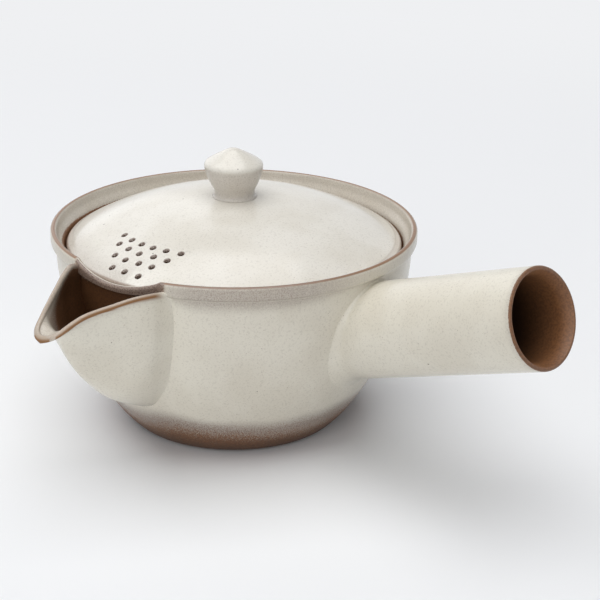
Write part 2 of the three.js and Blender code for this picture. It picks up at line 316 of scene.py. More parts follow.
def turningTree():
    # a profile of points (radius, 0, height) turned round the Z axis
    tree, source, inputs = newTree("potters_turning", {
        "Profile": "Geometry", "Steps around": "Int", "Coat": "Material"})
    rows = add(tree, "GeometryNodeAttributeDomainSize", {"Geometry": source["Profile"]})
    columns = calc(tree, "ADD", source["Steps around"], 1.0)
    grid = add(tree, "GeometryNodeMeshGrid", {
        "Vertices X": rows.outputs["Point Count"], "Vertices Y": columns})
    index = add(tree, "GeometryNodeInputIndex").outputs[0]
    row = calc(tree, "FLOOR", calc(tree, "DIVIDE", index, columns))
    column = calc(tree, "MODULO", index, columns)
    angle = calc(tree, "MULTIPLY", calc(tree, "DIVIDE", column, source["Steps around"]), 2 * pi)
    place = add(tree, "GeometryNodeInputPosition")
    sample = add(tree, "GeometryNodeSampleIndex", data_type="FLOAT_VECTOR", inputs={
        "Geometry": source["Profile"], "Value": place.outputs[0], "Index": row})
    turn = add(tree, "ShaderNodeVectorRotate", rotation_type="Z_AXIS", inputs={
        "Vector": sample.outputs["Value"], "Angle": angle})
    put = add(tree, "GeometryNodeSetPosition", {
        "Geometry": grid.outputs["Mesh"], "Position": turn.outputs[0]})
    finishTree(tree, put.outputs[0], source["Coat"])
    return tree, inputs


turning = turningTree()


def turnedPiece(name, outline, around):
    # outline runs from the axis to the axis
    profile = bpy.data.meshes.new(name + "_profile")
    profile.from_pydata([(r * mm, 0.0, z * mm) for r, z in outline], [], [])
    piece = addObject(name, runTree(*turning, profile, (around, cream)))
    outward(piece)
    return piece


def piercingTree():
    # on every point a pin, and a flare where the glaze rounds the edge of its hole
    sides = 28
    tree, source, inputs = newTree("piercing_pins", {
        "Places": "Geometry", "Hole radius": "Float", "Hole length": "Float", "Rounding": "Float",
        "Coat": "Material"})
    pin = add(tree, "GeometryNodeMeshCylinder", {
        "Vertices": sides, "Radius": source["Hole radius"], "Depth": source["Hole length"]})
    across = calc(tree, "MULTIPLY", source["Rounding"], 2.0)
    below = calc(tree, "MULTIPLY", source["Rounding"], -1.0)
    wide = calc(tree, "ADD", source["Hole radius"], across)
    cone = add(tree, "GeometryNodeMeshCone", {
        "Vertices": sides, "Radius Top": wide, "Radius Bottom": source["Hole radius"], "Depth": across})
    sunk = add(tree, "ShaderNodeCombineXYZ", {"Z": below})
    flare = add(tree, "GeometryNodeTransform", {
        "Geometry": cone.outputs["Mesh"], "Translation": sunk.outputs[0]})
    union = add(tree, "GeometryNodeMeshBoolean", operation="UNION", solver="EXACT")
    for shape, name in ((pin.outputs["Mesh"], "direction"), (flare.outputs["Geometry"], "normal")):
        named = add(tree, "GeometryNodeInputNamedAttribute", {"Name": name}, data_type="FLOAT_VECTOR")
        align = add(tree, "FunctionNodeAlignRotationToVector", {"Vector": named.outputs["Attribute"]},
                    axis="Z")
        put = add(tree, "GeometryNodeInstanceOnPoints", {
            "Points": source["Places"], "Instance": shape, "Rotation": align.outputs["Rotation"]})
        solid = add(tree, "GeometryNodeRealizeInstances", {"Geometry": put.outputs[0]})
        tree.links.new(solid.outputs[0], union.inputs["Mesh 2"])
    finishTree(tree, union.outputs["Mesh"], source["Coat"])
    return tree, inputs


piercing = piercingTree()


def pierce(piece, places, diameter, length, rounding):
    # places are (point on the outer surface, direction of the hole, normal of the surface)
    mesh = bpy.data.meshes.new(piece.name + "_holes")
    mesh.from_pydata([tuple(c * mm for c in place[0]) for place in places], [], [])
    for column, name in ((1, "direction"), (2, "normal")):
        layer = mesh.attributes.new(name, "FLOAT_VECTOR", "POINT")
        for i, place in enumerate(places):
            layer.data[i].vector = place[column]
    pins = runTree(*piercing, mesh, (diameter / 2 * mm, length * mm, rounding * mm, cream))
    cutter = addObject(piece.name + "_cutter", pins)
    cut = piece.modifiers.new("cut", "BOOLEAN")
    cut.object = cutter
    cut.operation = "DIFFERENCE"
    cut.solver = "EXACT"
    done = evaluatedMesh(piece)
    piece.modifiers.clear()
    piece.data = done
    bpy.data.objects.remove(cutter)


print("bowl")
bowl = dict(
    rimRadius=55.0, height=60.8, rimWall=1.9, rimRound=0.93,
    collarHeight=4.8, collarStep=1.5, stepHeight=1.4, stepMargin=0.4, stepRows=7, collarStraight=(2.6, 0.6),
    galleryRadius=50.95, galleryHeight=2.6, galleryTop=0.25, galleryRows=11,
    footRadius=31.7, footRound=0.9, rise=0.85, fullness=1.85, wall=4.2, floor=4.5, floorFlat=15.0,
    ledgeWidth=3.4, ledgeThickness=2.6, ledgeRound=0.5, lidEdgeHeight=2.8, lidClearance=0.3,
    # the corners beside the ledge and round the floor, as (inwards, upwards)
    galleryCorner=((0.0, 0.9), (0.1, 0.4), (0.5, 0.0)), floorCorner=((1.8, 0.55), (4.5, 0.12), (9.0, 0.0)),
    dipDepth=3.5, dipWidth=32.4, dipSideways=0.9, dipFrom=54.6, dipSoft=0.2,
    rows=60, rowCrowding=1.3, degreesPerColumn=1.2, degreesNearSpout=0.6, nearSpout=23.9,
    # the foot, with a wandering line of glaze, and bare clay painted darker towards the floor, partly as
    # contact shade
    wanderScale=0.06, wander=2.4, footClay=1.1, clayAt=(0.0, 16.5), veilAt=(10.5, 17.5),
    footUmberAndShade=0.62, wallUmber=0.17, footDarkAt=(0.0, 9.0),
    # the front of the body, as angles
    thinVeil=0.1, thinAngles=((-162.0, -145.0), (-90.0, -50.0)),
    # the collar's outside, with more veil beside the spout
    collarVeil=0.2, nearVeil=0.7, nearAngles=((-168.0, -152.0), (-128.0, -92.0)), nearDepth=5.0, veilTop=1.2,
    # the rim, measured inwards and downwards from its edge
    crestAt=(-0.45, -0.15), outerHalf=(-1.6, -1.15), innerWash=0.35, collarSkin=1.2, bodySkin=0.6,
    # the inside, and how much the brown strip round the lid rises by angle; below the strip and on the ledge
    # the clay is painted darker as shade
    insideFrom=3.0, bareClay=1.2, insideUmberAndShade=0.3, stripRises=((0.5, (30.0, 80.0)), (1.3, (95.0, 150.0))),
    stripSoft=0.25, innerVeil=0.45, dipVeil=0.05, dipAt=(0.3, 1.8), darkTop=0.2,
    ledgeShade=0.45, ledgeBand=(-0.6, 0.02), ledgeMargin=0.2,
    # behind the spout, with the bare wall painted dark as shade, a glazed band on the collar that is partly
    # painted shade, and a whitish line on its crest
    backClay=1.25, backShade=0.46, bandClay=0.3, bandUmberAndShade=0.7, bandWash=0.72, bandAt=(-1.2, -0.6),
    lineAcross=(-1.0, -0.75), lineUp=(-1.0, -0.7), washEnds=(-14.5, -10.5),
)
bodyRadius = bowl["rimRadius"] - bowl["collarStep"]
bodyTop = bowl["height"] - bowl["collarHeight"]
lidSeat = bodyTop - bowl["lidEdgeHeight"]
ledgeTop = lidSeat - bowl["lidClearance"]
ledgeRadius = bowl["galleryRadius"] - bowl["ledgeWidth"]


def bodyRadiusAt(height):
    share = min(max(height / bodyTop, 0.0), 1.0)
    swell = 1.0 - (1.0 - share ** bowl["rise"]) ** bowl["fullness"]
    return bowl["footRadius"] + (bodyRadius - bowl["footRadius"]) * swell


def outerRadiusAt(height):
    step = smooth(bodyTop, bodyTop + bowl["stepHeight"], height)
    return bodyRadiusAt(height) + bowl["collarStep"] * step


def bodyNormalAt(point):
    step = 0.4
    slope = (bodyRadiusAt(point.z + step) - bodyRadiusAt(max(point.z - step, 0.0))) / (2 * step)
    flat = Vector((point.x, point.y, 0.0)).normalized()
    return Vector((flat.x, flat.y, -slope)).normalized()


def onBody(point, inset):
    flat = Vector((point.x, point.y, 0.0)).normalized() * (outerRadiusAt(point.z) - inset)
    return Vector((flat.x, flat.y, point.z))


def wallHeights(top):
    # the rows crowd together near the foot, where the wall curves most
    low = bowl["footRound"]
    return [low + (i / bowl["rows"]) ** bowl["rowCrowding"] * (top - low) for i in range(bowl["rows"] + 1)]


def collarOutline():
    # the step out to the collar, then over the rim
    b = bowl
    low = bodyTop - b["stepMargin"]
    span = b["stepHeight"] + 2 * b["stepMargin"]
    heights = [low + span * i / b["stepRows"] for i in range(1, b["stepRows"] + 1)]
    top = b["height"] - b["rimRound"]
    above, below = b["collarStraight"]
    points = [(outerRadiusAt(z), z) for z in heights]
    points += [(b["rimRadius"], bodyTop + above), (b["rimRadius"], top - below)]
    points += arc(b["rimRadius"] - b["rimRound"], top, b["rimRound"], 0, 90, 8)
    return points + arc(b["rimRadius"] - b["rimWall"] + b["rimRound"], top, b["rimRound"], 90, 165, 8)


def galleryOutline():
    # down the inside of the rim, along the ledge and over its edge
    b = bowl
    crestInner = b["rimRadius"] - b["rimWall"]
    gallery, edge = b["galleryRadius"], b["ledgeRound"]
    slope = curve([(0, crestInner - 0.1), (0.3, crestInner - 0.55), (0.7, gallery + 0.5), (1, gallery)])
    top = b["height"] - b["rimRound"] - b["galleryTop"]
    drop = ledgeTop + b["galleryHeight"] - top
    shares = [i / b["galleryRows"] for i in range(1, b["galleryRows"] + 1)]
    points = [(slope(share), top + drop * share) for share in shares]
    points += [(gallery - inwards, ledgeTop + up) for inwards, up in b["galleryCorner"]]
    points += arc(ledgeRadius + edge, ledgeTop - edge, edge, 90, 180, 4)
    return points + [(ledgeRadius, ledgeTop - b["ledgeThickness"])]


def innerWall():
    # the outer wall moved inwards by the wall's thickness, from the ledge down to the floor
    b = bowl
    reach = 0.5
    overFloor = 1.0
    underLedge = 2.0
    points = []
    for z in wallHeights(bodyTop):
        lean = bodyRadiusAt(z + reach) - bodyRadiusAt(max(z - reach, 0.0))
        length = hypot(2 * reach, lean)
        point = (bodyRadiusAt(z) - b["wall"] / length, z + b["wall"] * lean / length)
        if b["floor"] + overFloor < point[1] < ledgeTop - b["ledgeThickness"] - underLedge:
            points.append(point)
    points.reverse()
    edge = points[-1][0]
    points += [(edge - inwards, b["floor"] + up) for inwards, up in b["floorCorner"]]
    return points + [(b["floorFlat"], b["floor"]), (0.0, b["floor"])]


def bowlOutline():
    b = bowl
    base = [(b["footRadius"] * share, 0.0) for share in (0.0, 0.5, 0.8)]
    foot = arc(b["footRadius"] - b["footRound"], b["footRound"], b["footRound"], -90, -20)
    outside = [(bodyRadiusAt(z), z) for z in wallHeights(bodyTop - b["stepMargin"])]
    return base + foot + outside + collarOutline() + galleryOutline() + innerWall()


def bowlColumns():
    # the columns stand closer together behind the spout
    almostRound = 359.99
    angles = []
    angle = 0.0
    while angle < almostRound:
        angles.append(radians(angle))
        near = abs(angle - 180.0) < bowl["nearSpout"]
        angle += bowl["degreesNearSpout"] if near else bowl["degreesPerColumn"]
    return angles


def rimDipAt(angle):
    # the rim dips in a shallow arc behind the spout
    if cos(angle) > 0.0:
        return 0.0
    b = bowl
    share = (b["rimRadius"] * sin(angle) - b["dipSideways"]) / (b["dipWidth"] / 2)
    arch = max(0.0, 1.0 - share * share)
    return b["dipDepth"] * arch * smooth(0.0, b["dipSoft"], arch)


def bowlPoint(radius, height, angle):
    b = bowl
    crestFrom = b["height"] - b["rimRound"]
    lowered = min(max((height - b["dipFrom"]) / (crestFrom - b["dipFrom"]), 0.0), 1.0)
    return (radius * cos(angle), radius * sin(angle), height - rimDipAt(angle) * lowered)


strainer = dict(holeDiameter=2.2, rows=(3, 4, 5, 4), rowPitch=4.3, holeSpacing=4.4, lowestRow=25.5,
                rounding=0.2)


def strainerPlaces():
    places = []
    for row, count in enumerate(strainer["rows"]):
        z = strainer["lowestRow"] + row * strainer["rowPitch"]
        wallRadius = bodyRadiusAt(z)
        for i in range(count):
            a = pi - (i - (count - 1) / 2) * strainer["holeSpacing"] / wallRadius
            outwards = Vector((cos(a), sin(a), 0.0))
            point = outwards * wallRadius + Vector((0.0, 0.0, z))
            places.append((point, outwards, bodyNormalAt(point)))
    return places


def makeBowl():
    outline = bowlOutline()
    columns = bowlColumns()
    middle = outline[1:-1]
    rows = len(middle)
    points = [bowlPoint(radius, height, angle) for angle in columns for radius, height in middle]
    start = len(points)
    points += [(0.0, 0.0, outline[0][1]), (0.0, 0.0, outline[-1][1])]
    faces = facesBetween(len(columns), rows, False)
    for k in range(len(columns)):
        a, b = k * rows, (k + 1) % len(columns) * rows
        faces += [(start, b, a), (start + 1, a + rows - 1, b + rows - 1)]
    piece = meshPiece("bowl_body", points, faces)
    pierce(piece, strainerPlaces(), strainer["holeDiameter"], 3 * bowl["wall"], strainer["rounding"])
    return piece


def bowlPaint(p):
    c = bowl
    radius = hypot(p.x, p.y)
    angle = degrees(atan2(p.y, p.x))
    dip = rimDipAt(radians(angle))
    fromRim = radius - bowl["rimRadius"]
    fromCrest = p.z - bowl["height"] + dip
    fromShoulder = p.z - bodyTop
    fromLedge = p.z - ledgeTop
    foot = p.z + noise.noise(p * c["wanderScale"]) * c["wander"]
    clay = shift(c["footClay"], 0.0, c["clayAt"], foot)
    thin = c["thinVeil"] * between(*c["thinAngles"], angle)
    veil = max(shift(1.0, 0.0, c["veilAt"], foot), thin)
    # the clay is painted darker towards the floor, partly darker clay and partly painted contact shade
    umberAndShade = shift(c["footUmberAndShade"], c["wallUmber"], c["footDarkAt"], p.z)
    wash = 0.0
    skin = bodyRadiusAt(p.z) - c["bodySkin"]
    if fromShoulder > 0.0:
        # the fired rim is brown on its outer half and paler on its inner half
        wash = smooth(*c["crestAt"], fromCrest) * shift(c["innerWash"], 1.0, c["outerHalf"], fromRim)
        skin = bowl["rimRadius"] - c["collarSkin"]
    outside = radius > skin
    if outside and fromShoulder > -c["nearDepth"]:
        near = between(*c["nearAngles"], angle)
        amount = mix(c["collarVeil"], c["nearVeil"], near)
        clay = 0.0
        veil = max(amount * smooth(-c["nearDepth"] * near, c["veilTop"], fromShoulder), thin)
    if not outside and p.z > c["insideFrom"]:
        # inside the clay is bare, and shows as a brown strip round the lid, widest on the left
        rises = sum(rise * smooth(*edges, angle) for rise, edges in c["stripRises"])
        strip = bowl["galleryHeight"] + rises - dip
        clay = c["bareClay"] * smooth(c["stripSoft"], -c["stripSoft"], fromLedge - strip)
        veil = shift(c["innerVeil"], c["dipVeil"], c["dipAt"], dip)
        # below the strip the bare clay is painted darker, and the ledge under the lid darker still, as the
        # shade there
        umberAndShade = 0.0 if fromLedge > c["darkTop"] else c["insideUmberAndShade"]
        low, high = c["ledgeBand"]
        if low < fromLedge <= high and radius > ledgeRadius - c["ledgeMargin"]:
            clay, umberAndShade = c["bareClay"], c["ledgeShade"]
    behind = inSpout(p) if outside and p.x < 0.0 else 0.0
    if behind > 0.0:
        # in the spout's shadow the bare wall and the band are painted darker with umber, as painted shade
        band = smooth(*c["bandAt"], fromShoulder)
        bare = 1.0 - (1.0 - smooth(*c["lineAcross"], fromRim)) * smooth(*c["lineUp"], fromCrest)
        clay = max(clay, mix(c["backClay"], c["bandClay"], band) * bare * behind)
        umberAndShade = max(umberAndShade, mix(c["backShade"], c["bandUmberAndShade"], band) * behind)
        veil = max(veil * bare, band * bare * behind)
        wash = max(shift(wash, 0.0, c["washEnds"], p.y), c["bandWash"] * band * bare * behind)
    return clay, veil, umberAndShade, wash


print("spout")
spout = dict(
    reach=30.6, halfWidth=16.0, depth=44.3, tipDrop=10.9, tipRound=4.4, innerTipRound=3.0,
    wall=1.7, beadRadius=0.85, sharpening=0.72, sharpenAlong=(0.1, 0.75),
    swell=0.085, swellAlong=(0.1, 0.65), swellAround=((0.0, 0.25), (0.7, 1.0)),
    # the soft corner with the body
    rootTop=57.6, farRootRise=1.4, rootBottom=16.6, rootReach=7.0, rootInset=0.25,
    keelRoot=0.25, keelRootAt=(0.6, 0.97), lipRoot=0.3, lipRootAt=(0.0, 0.3),
    innerInset=0.5, collarInset=1.0, seamFrom=30.0, seamPast=12.0, insideMargin=1.5, insideAt=(0.99, 1.04),
    across=112, along=74, tipRows=18, bendRows=9, beadRows=9,
    # along the spout and down from the lip
    farLipStart=(-0.06, 0.03), nearLipStart=(-0.04, 0.1), lipAt=(-0.8, -0.5), lipWash=0.45,
    glazeReach=0.63, glazeDepth=0.08, darkAt=(-0.16, 0.04), greyAt=(-0.1, 0.22), insideTo=1.0,
    throatClay=1.25, throatShade=0.56, throatWash=0.65, tipVeil=0.3, tipUmber=0.3, tipWash=0.15,
    # the brown line under the lip, wider round the nose, and the veil beside it
    noseAt=(-7.5, -4.0), noseDrop=0.8, lineAt=(-1.25, -1.05), crownAt=(-0.5, -0.1), crownWash=0.6,
    sideVeil=0.3, sideAt=(-3.0, -1.2), footAt=(16.5, 20.0), footClay=0.15, footVeil=0.3, umberAndShade=0.1,
)
# shares of the reach, with shares of the half width, of the tip's drop and of the depth
widthAlong = curve([(-0.4, 1), (0.1, 1.01), (0.41, 0.75), (0.67, 0.494), (0.86, 0.33), (1, 0.28)])
nearLipDrop = curve([(-0.4, 0.2), (-0.05, 0.22), (0.1, 0.16), (0.25, 0.155), (0.41, 0.23),
                     (0.67, 0.38), (0.83, 0.6), (0.95, 0.8), (1, 0.88)])
farLipDrop = curve([(-0.4, 0.14), (-0.02, 0.12), (0.05, 0.07), (0.19, 0.19), (0.36, 0.3),
                    (0.56, 0.41), (0.74, 0.53), (0.86, 0.67), (0.95, 0.81), (1, 0.88)])
keelAlong = curve([(-0.3, 1), (0, 0.893), (0.186, 0.808), (0.32, 0.721), (0.441, 0.637), (0.529, 0.567),
                   (0.637, 0.463), (0.703, 0.375), (0.752, 0.305), (0.807, 0.262), (0.88, 0.25), (1, 0.247)])
keelWallAlong = curve([(-0.3, 2.6), (0.3, 3.0), (0.6, 3.2), (0.75, 2.6), (0.85, 2.0), (1, 0.5)])
# half the width of the spout's foot on the body, by height
rootWidthAt = curve([(16.6, 0.0), (16.9, 2.2), (18.0, 4.4), (20.0, 6.6), (22.6, 8.9), (26.7, 11.9),
                     (33.2, 14.4), (40.2, 16.3), (46.7, 17.4), (52.3, 17.7), (59.0, 17.5)])


def lipTopAt(share, side):
    # the two lips were cut by hand, so the one on the +Y side starts higher
    return bowl["height"] - spout["tipDrop"] * (farLipDrop(share) if side > 0.0 else nearLipDrop(share))


def swellAt(share, deep):
    # the cheeks of the spout are a little fuller near the bowl
    along = 1.0 - smooth(*spout["swellAlong"], share)
    return spout["swell"] * between(*spout["swellAround"], deep) * along


def sharpnessAt(share):
    # 2 is a round section, less is a sharper keel
    return 2.0 - spout["sharpening"] * smooth(*spout["sharpenAlong"], share)


def tipOf(inner):
    # how far the spout reaches from the axis, and the rounding of its tip
    s = spout
    if inner:
        return bodyRadius + s["reach"] - s["wall"], s["innerTipRound"]
    return bodyRadius + s["reach"], s["tipRound"]


def spoutPoint(distance, angle, inner):
    # angle 0 is the lip on the +Y side, pi the lip on the -Y side, half of pi the keel
    s = spout
    leastRoom = 0.25
    share = (distance - bodyRadius) / s["reach"]
    inset = s["wall"] if inner else 0.0
    tip, rounding = tipOf(inner)
    into = min(max(0.0, (distance - (tip - rounding)) / rounding), 1.0)
    pinch = sqrt(max(0.0, 1.0 - into * into))
    half = max(s["halfWidth"] * widthAlong(share) - inset, 0.1) * pinch
    top = lipTopAt(share, cos(angle)) - s["beadRadius"]
    bottom = bowl["height"] - s["depth"] * keelAlong(share)
    if inner:
        bottom = min(bottom + keelWallAlong(share), top - leastRoom - 0.05)
    bottom = min(bottom, top - leastRoom)
    power = 2.0 / sharpnessAt(share)
    side, deep = cos(angle), sin(angle)
    across = copysign(abs(side) ** power, side) if abs(side) > 1e-9 else 0.0
    half *= 1.0 + swellAt(share, deep)
    return Vector((-distance, half * across, top - (top - bottom) * deep ** power))


def inSpout(p):
    # 1 on the part of the bowl's wall that lies inside the spout, 0 outside it
    s = spout
    top = s["rootTop"] + s["insideMargin"]
    height = max((top - p.z) / (top - s["rootBottom"] - 1.0), 0.0)
    return 1.0 - smooth(*s["insideAt"], hypot(p.y / s["halfWidth"], height))


def stationsTo(start, inner):
    # distances from the axis, closer together round the tip
    tip, rounding = tipOf(inner)
    roundFrom = tip - rounding
    tipRows = spout["tipRows"]
    count = spout["along"] - tipRows
    stations = [start + (roundFrom - start) * i / count for i in range(count)]
    turns = [pi / 2 * i / (tipRows - 1) for i in range(tipRows)]
    return stations + [roundFrom + rounding * sin(turn) for turn in turns]


def seamDistance(angle, inner, radiusAt):
    # where one line of the spout meets the body
    low, high = spout["seamFrom"], bodyRadius + spout["seamPast"]
    return seamBetween(low, high, lambda d: spoutPoint(d, angle, inner), radiusAt)


def spoutRoot(angle):
    # the foot of the soft corner between spout and body, just inside the body's skin
    s = spout
    side = cos(angle)
    top = s["rootTop"] + (s["farRootRise"] if side > 0.0 else 0.0)
    z = top - (top - s["rootBottom"]) * sin(angle)
    y = copysign(rootWidthAt(z), side) if abs(side) > 1e-6 else 0.0
    radius = outerRadiusAt(z) - s["rootInset"]
    return Vector((-sqrt(radius * radius - y * y), y, z))


def evenly(line, count):
    total = [0.0]
    for a, b in zip(line, line[1:]):
        total.append(total[-1] + (b - a).length)
    out = []
    i = 0
    for k in range(count):
        want = total[-1] * k / (count - 1)
        while i + 2 < len(total) and total[i + 1] < want:
            i += 1
        span = max(total[i + 1] - total[i], 1e-9)
        out.append(line[i].lerp(line[i + 1], min((want - total[i]) / span, 1.0)))
    return out


def outerLine(angle):
    s = spout
    seam = seamDistance(angle, False, outerRadiusAt)
    corner = spoutPoint(seam, angle, False)
    side = sin(angle)
    size = s["rootReach"] * shift(1.0, s["keelRoot"], s["keelRootAt"], side)
    size *= shift(s["lipRoot"], 1.0, s["lipRootAt"], side)
    line = bend(spoutRoot(angle), corner, spoutPoint(seam + size, angle, False), s["bendRows"])
    return line + [spoutPoint(d, angle, False) for d in stationsTo(seam + size, False)]


def innerLine(angle):
    # it starts inside the bowl's wall, or inside the collar above it
    s = spout
    seam = seamDistance(angle, True, lambda z: outerRadiusAt(z) - (
        s["collarInset"] if z > bodyTop else s["innerInset"]))
    return [spoutPoint(d, angle, True) for d in stationsTo(seam, True)]


def beadAcross(outerPoint, innerPoint, count):
    # the rounded top of the lip
    middle = (outerPoint + innerPoint) / 2
    half = (outerPoint - innerPoint) / 2
    up = Vector((0, 0, spout["beadRadius"]))
    angles = [pi * k / (count + 1) for k in range(1, count + 1)]
    return [middle + half * cos(a) + up * sin(a) for a in angles]


def makeSpout():
    across, along, bead = spout["across"], spout["along"], spout["beadRows"]
    angles = [pi * j / across for j in range(across + 1)]
    outer = [evenly(outerLine(a), along) for a in angles]
    inner = [evenly(innerLine(a), along) for a in angles]
    nearBead = zip(*[beadAcross(a, b, bead) for a, b in zip(outer[-1], inner[-1])])
    farBead = zip(*[beadAcross(a, b, bead) for a, b in zip(outer[0], inner[0])])
    loops = outer + list(nearBead) + inner[::-1] + list(farBead)[::-1]
    points = [p for loop in loops for p in loop]
    faces = facesBetween(len(loops), along, False)
    # the root is closed inside the bowl's wall
    firstInner = across + 1 + bead
    lastInner = firstInner + across
    for j in range(across):
        faces.append(tuple(i * along for i in (j, j + 1, lastInner - j - 1, lastInner - j)))
    faces.append(tuple(i * along for i in range(across, firstInner + 1)))
    faces.append(tuple(i * along for i in list(range(lastInner, len(loops))) + [0]))
    return meshPiece("spout_beak", points, faces)


def spoutInside(p, share, lipTop):
    # how far down inside the spout a point lies, from 0 at the lip, or None on the outside
    s = spout
    if not s["seamFrom"] + 10.0 < -p.x <= bodyRadius + s["reach"] - spout["insideTo"]:
        return None
    power = sharpnessAt(share)
    floorHeight = bowl["height"] - s["depth"] * keelAlong(share) + keelWallAlong(share) * 0.5
    top = lipTop - s["beadRadius"]
    down = max(top - p.z, 0.0) / max(top - floorHeight, 0.3)
    half = max(s["halfWidth"] * widthAlong(share), 1.0) - s["wall"] * 0.5
    half = max(half * (1.0 + swellAt(share, min(down, 1.0) ** (power / 2))), 0.5)
    return down if (abs(p.y) / half) ** power + down ** power < 1.0 else None


def spoutPaint(p):
    c = spout
    share = (-p.x - bodyRadius) / spout["reach"]
    lipTop = lipTopAt(share, p.y)
    fromLip = p.z - lipTop
    fade = smooth(*(c["farLipStart"] if p.y > 0.0 else c["nearLipStart"]), share)
    down = spoutInside(p, share, lipTop)
    if down is not None:
        # the glaze reaches down inside the tip and fades into the bare clay of the throat, painted dark as
        # the shade inside the spout
        lip = smooth(*c["lipAt"], fromLip) * fade
        fromEdge = share - c["glazeReach"] * (1.0 - exp(-down / c["glazeDepth"]))
        dark = 1.0 - smooth(*c["darkAt"], fromEdge)
        grey = 1.0 - smooth(*c["greyAt"], fromEdge)
        wash = max(c["lipWash"] * lip, mix(c["tipWash"], c["throatWash"], grey))
        return (c["throatClay"] * dark * (1.0 - lip), mix(c["tipVeil"], 1.0, grey),
                mix(c["tipUmber"], c["throatShade"], dark), wash)
    nose = smooth(*c["noseAt"], -p.x - tipOf(False)[0])
    line = smooth(*c["lineAt"], fromLip + c["noseDrop"] * nose) * fade
    veil = c["sideVeil"] * smooth(*c["sideAt"], fromLip) * (1.0 - line) * fade
    foot = 1.0 - smooth(*c["footAt"], p.z)
    # the crown of the lip's bead gets less brown wash, partly thin glaze and partly a painted highlight
    wash = line * shift(1.0, c["crownWash"], c["crownAt"], fromLip)
    return c["footClay"] * foot, max(veil, c["footVeil"] * foot), c["umberAndShade"], wash


print("handle")
handle = dict(
    turn=81.0, tilt=20.0, radius=13.8, wall=2.4, length=60.85, rootHeight=40.5, sideOffset=4.7,
    mouthRound=0.7, mouthBevel=4.0, bevelWidth=1.2, bevelCurve=1.6,
    # the edge between mouth and bevel, as (inwards along the bore, outwards from the bevel)
    mouthEdge=((0.0, 0.4), (0.1, 0.12), (0.35, 0.0)),
    # the soft corner with the body
    rootFillet=2.6, underFillet=5.0, underAt=(-0.2, 0.9), topFillet=0.4, topAt=(0.3, 1.0),
    rootInset=0.2, boreInset=1.2, seamSearch=(-20.0, 14.0), around=144, bendRows=10, wallRows=40,
    bevelRows=8, boreRows=28,
    # the paint, by the distance from the mouth; the bore is painted darker further in, as its shade
    ringAt=(-0.5, -0.3), veilAt=(-2.6, -0.6), boreAt=(-1.0, -20.0), veil=0.3, clay=1.3,
    umberAndShade=0.28, mouthShade=0.1, boreShade=0.95,
)


def handleFrame():
    h = handle
    t = radians(h["tilt"])
    turn = radians(180 + h["turn"])
    along = Vector((cos(turn) * cos(t), sin(turn) * cos(t), sin(t)))
    sideways = Vector((-sin(turn), cos(turn), 0.0))
    upward = along.cross(sideways)
    if upward.z < 0:
        upward = -upward
    foot = sideways * h["sideOffset"] + Vector((0, 0, h["rootHeight"] - bodyRadius * tan(t)))
    rootAt = bodyRadius / cos(t)
    return foot, along, sideways, upward, rootAt, rootAt + h["length"]


def handleRow(angle):
    h = handle
    foot, along, sideways, upward, rootAt, mouthAt = handleFrame()
    normal = sideways * cos(angle) + upward * sin(angle)

    def at(distance, radius):
        return foot + along * distance + normal * radius

    def seamAt(radius):
        low, high = h["seamSearch"]
        return seamBetween(rootAt + low, rootAt + high, lambda d: at(d, radius), outerRadiusAt)

    seam = seamAt(h["radius"])
    root = at(seam, h["radius"])
    bodyNormal = bodyNormalAt(root)
    out = (normal - bodyNormal * normal.dot(bodyNormal)).normalized()
    size = shift(h["rootFillet"], h["underFillet"], h["underAt"], -sin(angle))
    size *= shift(1.0, h["topFillet"], h["topAt"], sin(angle))
    row = bend(onBody(root + out * size, h["rootInset"]), root, at(seam + size, h["radius"]), h["bendRows"])
    start, straight = seam + size, mouthAt - h["mouthRound"]
    for i in range(h["wallRows"]):
        row.append(at(start + (straight - start) * i / h["wallRows"], h["radius"]))
    for x, y in arc(h["radius"] - h["mouthRound"], straight, h["mouthRound"], 0, 80, 6):
        row.append(at(y, x))
    bore = h["radius"] - h["wall"]
    for inwards, outwards in h["mouthEdge"]:
        row.append(at(mouthAt - inwards, bore + h["bevelWidth"] + outwards))
    bevelFrom = h["mouthEdge"][-1][0]
    for i in range(1, h["bevelRows"] + 1):
        s = i / h["bevelRows"]
        inwards = bevelFrom + (h["mouthBevel"] - bevelFrom) * s
        row.append(at(mouthAt - inwards, bore + h["bevelWidth"] * (1.0 - s) ** h["bevelCurve"]))
    deep, end = mouthAt - h["mouthBevel"] - 1.0, seamAt(bore) - h["boreInset"]
    for i in range(h["boreRows"]):
        row.append(at(deep + (end - deep) * i / (h["boreRows"] - 1), bore))
    return row


def makeHandle():
    h = handle
    rows = [handleRow(2 * pi * k / h["around"]) for k in range(h["around"])]
    points = [p for row in rows for p in row]
    return meshPiece("handle_tube", points, facesBetween(len(rows), len(rows[0]), True))


def handlePaint(p):
    h = handle
    foot, along, _, _, _, mouthAt = handleFrame()
    fromMouth = (p - foot).dot(along) - mouthAt
    if fromAxis(p, foot, along) < h["radius"] - 0.4 * h["wall"]:
        # inside the bore the bare clay is painted darker further from the mouth, as painted shade
        return h["clay"], 0.0, shift(h["mouthShade"], h["boreShade"], h["boreAt"], fromMouth), 0.0
    ring = smooth(*h["ringAt"], fromMouth)
    return h["clay"] * ring, h["veil"] * smooth(*h["veilAt"], fromMouth), h["umberAndShade"], ring


